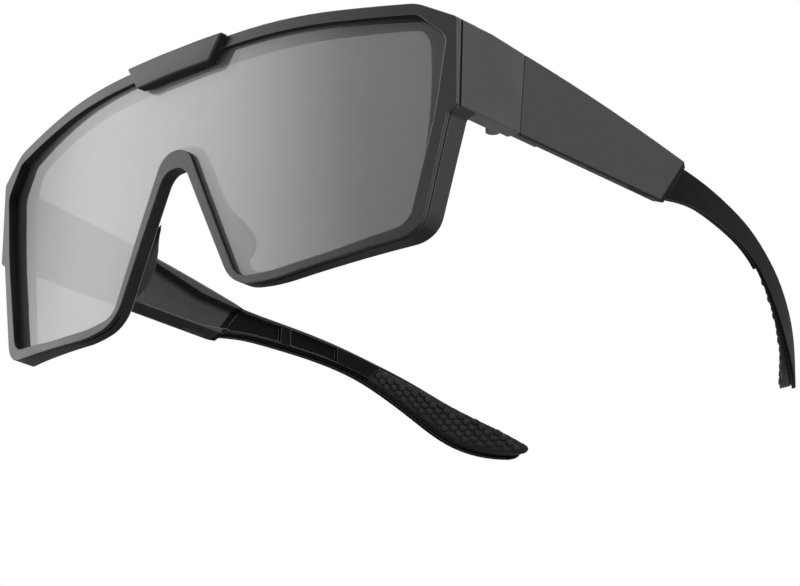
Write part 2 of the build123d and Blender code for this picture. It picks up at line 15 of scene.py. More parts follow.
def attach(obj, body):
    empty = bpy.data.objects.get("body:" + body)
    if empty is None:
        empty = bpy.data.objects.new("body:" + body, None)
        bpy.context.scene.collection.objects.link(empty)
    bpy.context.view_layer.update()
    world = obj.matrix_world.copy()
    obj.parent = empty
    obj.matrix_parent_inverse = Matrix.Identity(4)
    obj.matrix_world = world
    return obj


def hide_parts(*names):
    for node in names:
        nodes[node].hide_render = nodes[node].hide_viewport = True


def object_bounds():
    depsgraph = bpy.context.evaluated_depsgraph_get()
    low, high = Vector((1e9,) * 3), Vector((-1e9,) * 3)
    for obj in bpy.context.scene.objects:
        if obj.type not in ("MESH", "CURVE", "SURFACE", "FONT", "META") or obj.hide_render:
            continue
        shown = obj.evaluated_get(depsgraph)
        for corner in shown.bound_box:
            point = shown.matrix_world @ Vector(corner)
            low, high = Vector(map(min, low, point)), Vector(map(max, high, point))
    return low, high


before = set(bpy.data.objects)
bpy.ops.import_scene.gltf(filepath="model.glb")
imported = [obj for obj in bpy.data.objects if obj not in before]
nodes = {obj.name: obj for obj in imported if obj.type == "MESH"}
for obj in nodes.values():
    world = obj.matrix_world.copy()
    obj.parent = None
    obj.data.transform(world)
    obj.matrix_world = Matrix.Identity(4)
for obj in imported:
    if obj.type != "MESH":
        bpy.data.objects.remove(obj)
cad_low, cad_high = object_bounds()
print("size in mm", [round(1000 * (b - a), 1) for a, b in zip(cad_low, cad_high)])

# %% [markdown]
# ## Camera
# A product photograph of eyewear is shot from far away with a long lens, so that the arms don't
# shrink with distance. A wide lens close by would show the front huge and the tips tiny. The lens
# here is 144 mm, and the camera looks up at the shield from below its left side.

# %% Camera
camera_place = Vector((0.49978, -0.53040, -0.24809))
camera_forward = Vector((-0.64723, 0.67508, 0.35406))
camera_up = Vector((0.22299, -0.27648, 0.93479))
camera_lens_mm = 144
sensor_mm = 36
nearest, farthest = 0.01, 20


def make_camera():
    """A camera from its place, the way it looks and its upward side."""
    data = bpy.data.cameras.new("camera")
    data.lens = camera_lens_mm
    data.sensor_width = sensor_mm
    data.clip_start = nearest
    data.clip_end = farthest
    camera = bpy.data.objects.new("camera", data)
    right = camera_forward.cross(camera_up).normalized()
    up = right.cross(camera_forward).normalized()
    turn = Matrix((right, up, -camera_forward.normalized())).transposed()
    camera.matrix_world = Matrix.Translation(camera_place) @ turn.to_4x4()
    bpy.context.scene.collection.objects.link(camera)
    bpy.context.scene.camera = camera


make_camera()
print("camera at", [round(v, 3) for v in camera_place])

# %% [markdown]
# ## Short calls for materials
# Every finish below is a small node tree. Written out in full, each node takes four or five lines,
# and the idea gets lost among them. These short calls make a node, set its sockets and link it in
# one line, so that a material reads from top to bottom like a recipe.

# %% Node helpers
def node_tree(owner):
    """An empty node tree of a material, a lamp or the world, ready to be filled."""
    owner.use_nodes = True
    tree = owner.node_tree
    tree.nodes.clear()
    return tree


def add(tree, kind, **values):
    """Adds one node and sets its properties and its plain sockets."""
    node = tree.nodes.new(kind)
    for name, value in values.items():
        if hasattr(node, name):
            setattr(node, name, value)
        else:
            node.inputs[name.replace("_", " ")].default_value = value
    return node


def join(tree, out_socket, in_socket):
    """One link, written from where it leaves to where it arrives."""
    tree.links.new(out_socket, in_socket)


def close_tree(tree, shader, kind="ShaderNodeOutputMaterial"):
    """Ends a tree with what it shows."""
    join(tree, shader, add(tree, kind).inputs["Surface"])


print("calls for nodes ready")

# %% Sums and steps
def sum_of(tree, operation, a, b=0.0, **settings):
    """A sum of two values, each a socket or a number."""
    node = add(tree, "ShaderNodeMath", operation=operation, **settings)
    for i, value in enumerate((a, b)):
        if isinstance(value, bpy.types.NodeSocket):
            join(tree, value, node.inputs[i])
        else:
            node.inputs[i].default_value = value
    return node.outputs[0]


def ramp_of(tree, value, low, high, start=0.0, end=1.0, shape="SMOOTHSTEP"):
    """A step from one value to another, smooth unless told to be linear."""
    node = add(tree, "ShaderNodeMapRange", interpolation_type=shape,
               From_Min=low, From_Max=high, To_Min=start, To_Max=end)
    join(tree, value, node.inputs["Value"])
    return node.outputs["Result"]


def seen_directly(tree):
    """One for a ray from the camera, from a gloss or through a lens, none for soft light."""
    path = add(tree, "ShaderNodeLightPath")
    seen = sum_of(tree, "MAXIMUM", path.outputs["Is Camera Ray"], path.outputs["Is Glossy Ray"])
    return sum_of(tree, "MAXIMUM", seen, path.outputs["Is Transmission Ray"])


print("calls for values ready")

# %% [markdown]
# ## World
# The object is shown before plain white. A world that bright would also wash over it from every
# side and turn its black to grey. So the world has two strengths: pure white where it is seen, also
# in a gloss or through the lens, and a quarter of that as soft light.

# %% World
world_strength = 0.25


def make_world():
    """Plain soft light, and pure white where something looks past the object."""
    world = bpy.data.worlds.new("studio")
    bpy.context.scene.world = world
    tree = node_tree(world)
    strength = ramp_of(tree, seen_directly(tree), 0.0, 1.0, world_strength, 1.0, "LINEAR")
    background = add(tree, "ShaderNodeBackground", Color=(1, 1, 1, 1))
    join(tree, strength, background.inputs["Strength"])
    close_tree(tree, background.outputs[0], "ShaderNodeOutputWorld")


make_world()
print("world light", world_strength)

# %% [markdown]
# ## Lamps
# Black plastic has no colour of its own to show, so its form is read from the long soft
# reflections of the lamps. Cloth boxes do this in a studio: they are bright in the middle and fade
# to their border, and so do these. The one beside the right arm is the largest and leans a little,
# because its reflection is what fades slantwise over the curved shield.

# %% Soft border
lamp_middle = 0.5


def soft_border(data, border):
    """Lets a lamp fade over a share of its side, like a cloth box lit from its middle."""
    tree = node_tree(data)
    spot = add(tree, "ShaderNodeNewGeometry")
    split = add(tree, "ShaderNodeSeparateXYZ")
    join(tree, spot.outputs["Parametric"], split.inputs[0])
    fades = []
    for side in ("X", "Y"):
        off = sum_of(tree, "SUBTRACT", split.outputs[side], lamp_middle)
        far = sum_of(tree, "ABSOLUTE", off)
        fades.append(ramp_of(tree, far, lamp_middle - border, lamp_middle, 1.0, 0.0))
    shine = add(tree, "ShaderNodeEmission")
    join(tree, sum_of(tree, "MULTIPLY", *fades), shine.inputs["Strength"])
    close_tree(tree, shine.outputs[0], "ShaderNodeOutputLight")


print("a lamp fades from its middle at", lamp_middle)

# %% Lamps
# name, place, side in m, power in W, share that fades at each border, lean in degrees
lamp_rows = [
    ("lamp_side", (-0.93, -0.80, 0.06), 2.2, 46.0, 0.33, 30),
    ("lamp_top", (0.1, 0.1, 1.1), 1.0, 10.0, 0.1, 0),
    ("lamp_left", (1.0, -0.1, 0.45), 0.8, 6.0, 0.1, 0),
    ("lamp_sheen", (0.90, 0.72, 0.42), 0.45, 4.0, 0.5, 0),
]


def make_lamp(name, place, aim, size, power, border, lean):
    """A square soft lamp that looks at a point and is turned about the way it looks."""
    data = bpy.data.lights.new(name, "AREA")
    data.shape = "SQUARE"
    data.size = size
    data.energy = power
    soft_border(data, border)
    lamp = bpy.data.objects.new(name, data)
    lamp.location = place
    lamp.rotation_mode = "QUATERNION"
    turn = Quaternion((0, 0, 1), math.radians(lean))
    lamp.rotation_quaternion = (aim - place).to_track_quat("-Z", "Y") @ turn
    bpy.context.scene.collection.objects.link(lamp)


middle = (cad_low + cad_high) / 2
for lamp_name, lamp_place, lamp_size, lamp_power, lamp_border, lamp_lean in lamp_rows:
    make_lamp(lamp_name, Vector(lamp_place), middle, lamp_size, lamp_power, lamp_border, lamp_lean)
    print(lamp_name, "size", lamp_size, "power", lamp_power)

# %% [markdown]
# ## Floor
# The floor is pale and carries the shadow. It is seen only from above: from below, where the main
# camera stands, it lets every ray through, as if the object stood on a sheet of clear glass. Part
# of its paleness is its own, so that the shadow stays soft, and some way off it fades into the
# white of the world, so that no horizon shows. It throws little light back up, because black
# plastic over a white sheet would lose the depth of its underside.

# %% Floor finish
floor_grey = 0.38
floor_paleness = 0.5
floor_bounce = 0.10
fade_start, fade_end = 0.22, 0.75


def floor_finish():
    """Pale where it is seen, dull as a source of light, and clear from below and far away."""
    material = bpy.data.materials.new("pale_floor")
    tree = node_tree(material)
    lit = add(tree, "ShaderNodeBsdfDiffuse", Color=(floor_grey, floor_grey, floor_grey, 1))
    glow = add(tree, "ShaderNodeEmission", Strength=floor_paleness)
    pale = add(tree, "ShaderNodeAddShader")
    join(tree, lit.outputs[0], pale.inputs[0])
    join(tree, glow.outputs[0], pale.inputs[1])
    dull = add(tree, "ShaderNodeBsdfDiffuse", Color=(floor_bounce, floor_bounce, floor_bounce, 1))
    shade = add(tree, "ShaderNodeMixShader")
    join(tree, seen_directly(tree), shade.inputs[0])
    join(tree, dull.outputs[0], shade.inputs[1])
    join(tree, pale.outputs[0], shade.inputs[2])
    place = add(tree, "ShaderNodeTexCoord")
    away = add(tree, "ShaderNodeVectorMath", operation="LENGTH")
    join(tree, place.outputs["Object"], away.inputs[0])
    gone = ramp_of(tree, away.outputs["Value"], fade_start, fade_end)
    geometry = add(tree, "ShaderNodeNewGeometry")
    gone = sum_of(tree, "MAXIMUM", gone, geometry.outputs["Backfacing"])
    mix = add(tree, "ShaderNodeMixShader")
    join(tree, gone, mix.inputs[0])
    join(tree, shade.outputs[0], mix.inputs[1])
    join(tree, add(tree, "ShaderNodeBsdfTransparent").outputs[0], mix.inputs[2])
    close_tree(tree, mix.outputs[0])
    return material


print("floor grey", floor_grey, "and its own light", floor_paleness)

# %% Floor
floor_half = 3.0


def make_floor():
    """A large flat sheet under the object."""
    mesh = bpy.data.meshes.new("floor")
    corners = [(-floor_half, -floor_half, 0), (floor_half, -floor_half, 0),
               (floor_half, floor_half, 0), (-floor_half, floor_half, 0)]
    mesh.from_pydata(corners, [], [(0, 1, 2, 3)])
    mesh.materials.append(floor_finish())
    floor = bpy.data.objects.new("floor", mesh)
    bpy.context.scene.collection.objects.link(floor)


make_floor()
print("floor half side in m", floor_half)

# %% [markdown]
# ## Soft edges
# No moulded edge is perfectly sharp: the plastic can't fill a knife edge in the mould, and a sharp
# one would hurt the face. The trim and the hinge leaves get a round on their edges, as a stack of
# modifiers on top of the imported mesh, which stays as it is. The large mouldings carry their
# chamfers already, and the last fine round on them comes with their material.

# %% Soft edges
merge_gap = 2e-6
flat_angle = math.radians(1.5)
edge_angle = math.radians(28)
round_steps = 3
edge_rows = {
    "brow_plate": 0.00028,
    "hinge_leaf_front_left": 0.00012, "hinge_leaf_front_right": 0.00012,
    "hinge_leaf_temple_left": 0.00012, "hinge_leaf_temple_right": 0.00012,
}


def soften(piece, width):
    """Welds the loose triangles, dissolves flat ones and rounds the edges."""
    weld = piece.modifiers.new("weld", "WELD")
    weld.merge_threshold = merge_gap
    flat = piece.modifiers.new("flat", "DECIMATE")
    flat.decimate_type = "DISSOLVE"
    flat.angle_limit = flat_angle
    round_off = piece.modifiers.new("round", "BEVEL")
    round_off.width = width
    round_off.segments = round_steps
    round_off.limit_method = "ANGLE"
    round_off.angle_limit = edge_angle
    round_off.miter_outer = "MITER_ARC"
    round_off.harden_normals = True


for node_name, edge_width in edge_rows.items():
    soften(nodes[node_name], edge_width)
print("edges rounded on", len(edge_rows), "nodes")

# %% [markdown]
# ## Moulded plastic
# The frame and the arms are injection moulded in a tough black nylon. The mould is spark eroded,
# which leaves a fine even grain all over: it breaks up reflections, so that the black reads as
# soft charcoal. Two sizes of noise make it, one for the grain and one for the slow drift in sheen
# that handling leaves. Both are read from the place on the object, so they never swim or stretch.

# %% Grain
grain_scale = 2400
grain_detail, grain_roughness = 3, 0.6
grain_depth = 0.00006
grain_strength = 0.4
cloud_scale, cloud_detail = 90, 2
colour_drift = 0.12
edge_round = 0.00042
edge_samples = 6
noise_low, noise_high = 0.3, 0.7


def grain_nodes(tree, strength=grain_strength):
    """A fine grain and a slow cloud from the place on the object, with the bump they make."""
    place = add(tree, "ShaderNodeTexCoord")
    soft = add(tree, "ShaderNodeBevel", samples=edge_samples, Radius=edge_round)
    grain = add(tree, "ShaderNodeTexNoise", Scale=grain_scale, Detail=grain_detail,
                Roughness=grain_roughness)
    cloud = add(tree, "ShaderNodeTexNoise", Scale=cloud_scale, Detail=cloud_detail)
    join(tree, place.outputs["Object"], grain.inputs["Vector"])
    join(tree, place.outputs["Object"], cloud.inputs["Vector"])
    bump = add(tree, "ShaderNodeBump", Strength=strength, Distance=grain_depth)
    join(tree, grain.outputs["Fac"], bump.inputs["Height"])
    join(tree, soft.outputs["Normal"], bump.inputs["Normal"])
    return place, grain.outputs["Fac"], cloud.outputs["Fac"], bump.outputs["Normal"]


def spread(tree, noise, low, high):
    """Turns a noise into a value between two limits."""
    return ramp_of(tree, noise, noise_low, noise_high, low, high, "LINEAR")


def tint(tree, noise, colour, share=colour_drift):
    """Lets a colour drift with a noise, between a darker and a lighter neighbour."""
    ramp = add(tree, "ShaderNodeValToRGB")
    for stop, position, sign in zip(ramp.color_ramp.elements, (noise_low, noise_high), (-1, 1)):
        stop.position = position
        stop.color = (*[(1 + sign * share) * c for c in colour], 1)
    join(tree, noise, ramp.inputs["Fac"])
    return ramp.outputs["Color"]


print("grain scale", grain_scale, "edge round in mm", 1000 * edge_round)

# %% [markdown]
# ## Edge highlights and wear
# Thin grey lines along the rounded edges are a painted highlight: a lighter colour that stands for
# the light the edges catch, and also for handling, which polishes the grain off the edges first. A
# hand painted map could show them, but would have to be painted for each piece. The material finds
# them by itself: where its rounded normal turns away from that of the plain surface, there is an
# edge.

# %% Edge highlights
edge_turn = (0.86, 0.985)
wear_and_highlight_strength = 0.9


def dot_of(tree, socket, other):
    """How far a direction agrees with another, which is a socket or three numbers."""
    node = add(tree, "ShaderNodeVectorMath", operation="DOT_PRODUCT")
    join(tree, socket, node.inputs[0])
    if isinstance(other, bpy.types.NodeSocket):
        join(tree, other, node.inputs[1])
    else:
        node.inputs[1].default_value = other
    return node.outputs["Value"]


def edge_highlight_share(tree):
    """High along the rounded edges, where the painted highlight and wear go, and none elsewhere."""
    soft = add(tree, "ShaderNodeBevel", samples=edge_samples, Radius=edge_round)
    flat = add(tree, "ShaderNodeNewGeometry")
    agree = dot_of(tree, soft.outputs["Normal"], flat.outputs["Normal"])
    return ramp_of(tree, agree, *edge_turn, wear_and_highlight_strength, 0.0)


print("edges worn by", wear_and_highlight_strength)

# %% [markdown]
# ## Inner walls
# The walls of the opening that holds the lens, and the underside, hardly see any light, so they
# get painted shade: a much deeper black than the faces that show. Two materials on two groups of
# faces would need the faces to be picked by hand. The share of the painted shade is worked out here
# from the way that the surface faces, which also holds when the frame changes its size. The top of
# the brow faces up as a wall does, but it shows, so it is taken out again.

# %% Inner walls
wrap_radius = 0.21054
wrap_centre = cad_low.y + wrap_radius
wall_reach = 0.896
wall_end = wall_reach * cad_high.x
wall_fade = 0.001
wall_turn = (0.3, 0.75)
crown_start = 0.76
crown_height = crown_start * cad_high.z
crown_fade = 0.002
crown_turn = (0.1, 0.4)


def vector_step(tree, operation, socket, values=None):
    """One step of a sum on a direction."""
    node = add(tree, "ShaderNodeVectorMath", operation=operation)
    join(tree, socket, node.inputs[0])
    if values:
        node.inputs[1].default_value = values
    return node.outputs[0]


def painted_shade_share(tree, place):
    """Share of painted shade: one on the opening walls and the underside, none on faces that show.
    """
    ahead = vector_step(tree, "SUBTRACT", place.outputs["Object"], (0, wrap_centre, 0))
    ahead = vector_step(tree, "NORMALIZE", vector_step(tree, "MULTIPLY", ahead, (1, 1, 0)))
    facing = add(tree, "ShaderNodeNewGeometry")
    agree = sum_of(tree, "ABSOLUTE", dot_of(tree, ahead, facing.outputs["Normal"]))
    wall = ramp_of(tree, agree, *wall_turn, 1.0, 0.0)
    spot = add(tree, "ShaderNodeSeparateXYZ")
    join(tree, place.outputs["Object"], spot.inputs[0])
    across = sum_of(tree, "ABSOLUTE", spot.outputs["X"])
    rim = ramp_of(tree, across, wall_end - wall_fade, wall_end, 1.0, 0.0)
    turn = add(tree, "ShaderNodeSeparateXYZ")
    join(tree, facing.outputs["Normal"], turn.inputs[0])
    crown = ramp_of(tree, spot.outputs["Z"], crown_height - crown_fade, crown_height)
    top = sum_of(tree, "MULTIPLY", ramp_of(tree, turn.outputs["Z"], *crown_turn), crown)
    return sum_of(tree, "SUBTRACT", sum_of(tree, "MULTIPLY", wall, rim), top, use_clamp=True)


print("walls end at", round(wall_end, 4), "crown starts at", round(crown_height, 4))

# %% [markdown]
# ## Front and trim
# The front is one moulding and the brow trim is a second one pressed onto it. They come from two
# moulds with the same grain, so they differ only a little in sheen, which is how the eye tells on
# a black object that there are two pieces.

# %% Front material
frame_black = (0.022, 0.022, 0.0225)
# painted shade: a near black for the walls of the openings and the underside
painted_wall_shade = (0.001, 0.001, 0.001)
# painted highlight along the rounded edges, a light grey that also stands for wear
wear_and_highlight_grey = (0.20, 0.20, 0.20)
wall_dulling = 0.35
sheen_drift = 0.04
front_gloss = 0.3
# a mix node has sockets for several kinds of value, and these are the places of its colours
mix_colours, mix_result = (6, 7), 2


def mixed(tree, share, first, second):
    """A mix of two colours by a share."""
    node = add(tree, "ShaderNodeMix", data_type="RGBA")
    join(tree, share, node.inputs[0])
    for colour, socket in zip((first, second), mix_colours):
        join(tree, colour, node.inputs[socket])
    return node.outputs[mix_result]


def moulded_plastic(name, roughness):
    """Matte black plastic with a spark eroded grain, painted shade on its inner walls and edge
    highlights.
    """
    material = bpy.data.materials.new(name)
    tree = node_tree(material)
    place, grain, cloud, normal = grain_nodes(tree)
    walls = painted_shade_share(tree, place)
    # painted shade on the walls of the openings and the underside
    show = mixed(tree, walls, tint(tree, grain, frame_black), tint(tree, grain, painted_wall_shade))
    # painted highlight along the edges, which also stands for wear
    show = mixed(tree, edge_highlight_share(tree), show, tint(tree, grain, wear_and_highlight_grey))
    sheen = spread(tree, cloud, roughness - sheen_drift, roughness + sheen_drift)
    sheen = sum_of(tree, "ADD", sum_of(tree, "MULTIPLY", walls, wall_dulling), sheen)
    plastic = add(tree, "ShaderNodeBsdfPrincipled", Specular_IOR_Level=front_gloss)
    join(tree, show, plastic.inputs["Base Color"])
    join(tree, sheen, plastic.inputs["Roughness"])
    join(tree, normal, plastic.inputs["Normal"])
    close_tree(tree, plastic.outputs[0])
    return material


print("front gloss", front_gloss)

# %% Front and trim
frame_sheen, trim_sheen = 0.38, 0.36


def dress(piece, material):
    """Puts one material in every slot of a piece."""
    if not piece.material_slots:
        piece.data.materials.append(material)
    for one in piece.material_slots:
        one.material = material


dress(nodes["front_frame"], moulded_plastic("frame_plastic", frame_sheen))
dress(nodes["brow_plate"], moulded_plastic("trim_plastic", trim_sheen))
print("plastic on front_frame and brow_plate")

# %% [markdown]
# ## Arms
# The arms are the same nylon with the same grain, and the wide panel is charcoal. The slim curved
# rear behind its slanted end turns away from the light, and it gets painted shade, a deeper black.
# The line between the two is the foot of that slanted step. It could be painted on a map of the arm,
# but is worked out from the size of the packed arm, so that it follows the step when the arm
# changes.

# %% Arms
panel_black = (0.094, 0.094, 0.0945)
# painted shade: the slim rear turns away from the light, so it is painted a deeper black
painted_rear_shade = (0.007, 0.007, 0.0072)
arm_gloss = 0.03
arm_sheen = (0.54, 0.62)
slant_across = Vector((0, 0.815, -0.58))
slant_foot_along, slant_foot_up = 0.342, 0.4904
slant_soft = 0.0002


def box_of(node):
    """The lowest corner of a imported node, and how far it runs from there."""
    corners = [Vector(corner) for corner in node.bound_box]
    least = Vector([min(values) for values in zip(*corners)])
    most = Vector([max(values) for values in zip(*corners)])
    return least, most - least


arm_start, arm_run = box_of(nodes["temple_left"])
slant_foot = Vector((0, arm_start.y + slant_foot_along * arm_run.y, slant_foot_up * cad_high.z))
slant_place = slant_foot.dot(slant_across)


def arm_plastic():
    """Charcoal on the panel, and painted shade in a deeper black behind its slanted end."""
    material = bpy.data.materials.new("arm_plastic")
    tree = node_tree(material)
    place, grain, cloud, normal = grain_nodes(tree)
    slant = dot_of(tree, place.outputs["Object"], slant_across)
    rear = ramp_of(tree, slant, slant_place - slant_soft, slant_place + slant_soft, shape="LINEAR")
    # painted shade behind the slanted end
    show = mixed(tree, rear, tint(tree, grain, panel_black), tint(tree, grain, painted_rear_shade))
    # painted highlight along the edges, which also stands for wear
    show = mixed(tree, edge_highlight_share(tree), show, tint(tree, grain, wear_and_highlight_grey))
    plastic = add(tree, "ShaderNodeBsdfPrincipled", Specular_IOR_Level=arm_gloss)
    join(tree, show, plastic.inputs["Base Color"])
    join(tree, spread(tree, cloud, *arm_sheen), plastic.inputs["Roughness"])
    join(tree, normal, plastic.inputs["Normal"])
    close_tree(tree, plastic.outputs[0])
    return material


arm_finish = arm_plastic()
for node_name in ("temple_left", "temple_right"):
    dress(nodes[node_name], arm_finish)
print("slant of the panel starts in mm at", [round(1000 * v, 1) for v in slant_foot])

# %% [markdown]
# ## Short calls for geometry
# Geometry Nodes build a shape as a tree too. This small class holds one tree, its named inputs and
# the calls that add to it. Named inputs are what makes a pattern reusable: someone who opens the
# file later can change a size by its name, without reading the tree.

# %% Geometry helpers
class Pattern:
    """Short calls for a tree of Geometry Nodes."""

    def __init__(self, name, sizes):
        self.tree = bpy.data.node_groups.new(name, "GeometryNodeTree")
        for way in ("INPUT", "OUTPUT"):
            self.tree.interface.new_socket(
                name="Geometry", in_out=way, socket_type="NodeSocketGeometry")
        for key, value in sizes.items():
            socket = self.tree.interface.new_socket(
                name=key, in_out="INPUT", socket_type="NodeSocketFloat")
            socket.default_value = value
        self.way_in = self.tree.nodes.new("NodeGroupInput")
        self.way_out = self.tree.nodes.new("NodeGroupOutput")

    def size(self, name):
        """The output of one named input."""
        return self.way_in.outputs[name]

    def node(self, kind, inputs=None, **settings):
        """One node, its settings and what feeds it."""
        made = self.tree.nodes.new(kind)
        for key, value in settings.items():
            setattr(made, key, value)
        for key, value in (inputs or {}).items():
            if isinstance(value, bpy.types.NodeSocket):
                self.tree.links.new(value, made.inputs[key])
            else:
                made.inputs[key].default_value = value
        return made

    def math(self, operation, a, b=0.0):
        """A sum of two values."""
        return self.node("ShaderNodeMath", {0: a, 1: b}, operation=operation).outputs[0]

    def vector(self, x, y, z):
        """A vector from three values."""
        return self.node("ShaderNodeCombineXYZ", {0: x, 1: y, 2: z}).outputs[0]

    def joined(self, *parts):
        """Several geometries as one."""
        together = self.node("GeometryNodeJoinGeometry")
        for part in parts:
            self.tree.links.new(part, together.inputs[0])
        return together.outputs[0]

    def close(self, geometry):
        """Ends the tree with what it makes."""
        self.tree.links.new(geometry, self.way_out.inputs[0])
        return self.tree


print("geometry helpers ready")

# %% [markdown]
# ## The shield
# One curved sheet of smoke grey polycarbonate with a thin metal mirror coat on its outside. A
# mirror shows every flat facet of a mesh as a step in its reflection, so the sheet is first shaded
# as one smooth face, with its borders kept sharp. The reflection of the coat is painted into the
# lens colour as a silvery grey that is lightest at a slanted view, so the lens goes from a painted
# reflection on the far side to dark smoke where it faces the eye. It covers only part of what lies
# behind it, and the arm shows through it as a faint darker band.

# %% Smooth sheet
def even_out(piece):
    """Shades a curved sheet as one smooth face, and keeps its borders sharp."""
    weld = piece.modifiers.new("weld", "WELD")
    weld.merge_threshold = merge_gap
    p = Pattern("smooth_sheet", {})
    faces = p.node("GeometryNodeSetShadeSmooth", {"Geometry": p.way_in.outputs["Geometry"]})
    bend = p.node("GeometryNodeInputMeshEdgeAngle")
    sharp = p.node("FunctionNodeCompare", {
        "A": bend.outputs["Unsigned Angle"], "B": edge_angle}, operation="GREATER_THAN")
    edges = p.node("GeometryNodeSetShadeSmooth", {
        "Geometry": faces.outputs[0], "Selection": sharp.outputs[0], "Shade Smooth": False},
        domain="EDGE")
    even = piece.modifiers.new("even", "NODES")
    even.node_group = p.close(edges.outputs[0])


even_out(nodes["shield_lens"])
print("lens shaded as one sheet")

# %% Lens material
lens_smoke = (0.06, 0.06, 0.062)
# painted reflection: a silvery grey that stands for what the mirror coat reflects
painted_reflection_silver = (0.42, 0.42, 0.425)
smoke_drift, reflection_drift = 0.05, 0.02
lens_rough = 0.06
rough_drift = 0.015
lens_index = 1.6
film_scale, film_detail = 55, 3
even_blend = 0.5
cover_slant = (0.05, 0.75)
cover_share = (0.70, 0.72)
reflection_rise = (0.12, 0.42)
reflection_fall = (0.46, 0.68)


def smoke_lens():
    """Smoke plastic with its mirror coat as a painted reflection, lightest at a slanted view."""
    material = bpy.data.materials.new("smoke_lens")
    tree = node_tree(material)
    place = add(tree, "ShaderNodeTexCoord")
    film = add(tree, "ShaderNodeTexNoise", Scale=film_scale, Detail=film_detail)
    join(tree, place.outputs["Object"], film.inputs["Vector"])
    slant = add(tree, "ShaderNodeLayerWeight", Blend=even_blend).outputs["Facing"]
    painted_reflection_share = sum_of(tree, "MULTIPLY", ramp_of(tree, slant, *reflection_rise),
                    ramp_of(tree, slant, *reflection_fall, 1.0, 0.0))
    # painted reflection mixed over the smoke by how slanted the view is
    coat = mixed(tree, painted_reflection_share, tint(tree, film.outputs["Fac"], lens_smoke, smoke_drift),
                 tint(tree, film.outputs["Fac"], painted_reflection_silver, reflection_drift))
    glass = add(tree, "ShaderNodeBsdfPrincipled", IOR=lens_index)
    sheen = spread(tree, film.outputs["Fac"], lens_rough - rough_drift, lens_rough + rough_drift)
    join(tree, coat, glass.inputs["Base Color"])
    join(tree, sheen, glass.inputs["Roughness"])
    join(tree, ramp_of(tree, slant, *cover_slant, *cover_share, "LINEAR"), glass.inputs["Alpha"])
    close_tree(tree, glass.outputs[0])
    return material


dress(nodes["shield_lens"], smoke_lens())
print("lens index", lens_index, "roughness", lens_rough)

# %% [markdown]
# ## Hinge metal
# The hinge leaves are stamped from steel strip and brushed along their length, and the pins and
# screws are turned, which leaves fine rings. Both get painted shade: their colour is darkened far
# below bare steel to stand for the shade they sit in, so that they don't glint inside a black frame.
# Noise stretched along one direction makes both kinds of line from one tree.

# %% Hinge metal
# painted shade: steel darkened to stand for the shade that the hinge sits in
shaded_steel_colour = (0.045, 0.045, 0.047)
steel_drift = 0.2
steel_sheen = (0.34, 0.50)
fine, long = 9000, 260
line_detail = 2
line_strength = 0.3
line_depth = 0.00002


def brushed_steel(name, stretch):
    """Steel with fine lines along one direction."""
    material = bpy.data.materials.new(name)
    tree = node_tree(material)
    place = add(tree, "ShaderNodeTexCoord")
    pull = add(tree, "ShaderNodeMapping", Scale=stretch)
    lines = add(tree, "ShaderNodeTexNoise", Scale=1.0, Detail=line_detail)
    join(tree, place.outputs["Object"], pull.inputs["Vector"])
    join(tree, pull.outputs[0], lines.inputs["Vector"])
    line = lines.outputs["Fac"]
    bump = add(tree, "ShaderNodeBump", Strength=line_strength, Distance=line_depth)
    join(tree, line, bump.inputs["Height"])
    steel = add(tree, "ShaderNodeBsdfPrincipled", Metallic=1.0)
    # painted shade in the colour of the steel
    join(tree, tint(tree, line, shaded_steel_colour, steel_drift), steel.inputs["Base Color"])
    join(tree, spread(tree, line, *steel_sheen), steel.inputs["Roughness"])
    join(tree, bump.outputs["Normal"], steel.inputs["Normal"])
    close_tree(tree, steel.outputs[0])
    return material


leaf_steel = brushed_steel("leaf_steel", (fine, long, fine))
turned_steel = brushed_steel("turned_steel", (fine, fine, long))
for node_name, node in nodes.items():
    if node_name.startswith("hinge_leaf"):
        dress(node, leaf_steel)
    elif "screw" in node_name:
        dress(node, turned_steel)
print("steel on leaves and screws")

# %% [markdown]
# ## Rubber
# The saddle over the nose and the grips on the arm ends are moulded from soft rubber. It has almost
# no gloss and a dull, slightly dusty black. The layer under the grip scales gets painted shade, a
# deeper black in the grooves, where light doesn't reach. The same grain as on the plastic serves,
# only stronger and with a rougher sheen.

# %% Rubber
skin_black = (0.013, 0.013, 0.013)
# painted shade for the grip layer, which shows in the grooves between the scales
painted_groove_shade = (0.005, 0.005, 0.005)
rubber_drift = 0.2
rubber_gloss = 0.18
rubber_sheen = (0.55, 0.68)
rubber_grain = 0.5


def soft_rubber(name, colour):
    """Dull black rubber with a fine skin."""
    material = bpy.data.materials.new(name)
    tree = node_tree(material)
    place, grain, cloud, normal = grain_nodes(tree, rubber_grain)
    skin = add(tree, "ShaderNodeBsdfPrincipled", Specular_IOR_Level=rubber_gloss)
    join(tree, tint(tree, grain, colour, rubber_drift), skin.inputs["Base Color"])
    join(tree, spread(tree, cloud, *rubber_sheen), skin.inputs["Roughness"])
    join(tree, normal, skin.inputs["Normal"])
    close_tree(tree, skin.outputs[0])
    return material


rubber = soft_rubber("soft_rubber", skin_black)
# rubber with painted shade for the grooves of the grips
painted_shade_rubber = soft_rubber("painted_shade_rubber", painted_groove_shade)
print("rubbers", rubber.name, painted_shade_rubber.name)

# %% [markdown]
# ## Soft lips
# Moulded rubber has no crisp lips. A bevel could round them, but it needs clean edges, and the
# packed rubber pieces have many short ones where one form runs into another. So a copy is skinned
# anew in an even grid and smoothed, which rounds every lip at once. Smoothing pulls a surface
# inwards, so the piece stays inside the space of the plain solid.

# %% Soft lips
smooth_share = 0.5


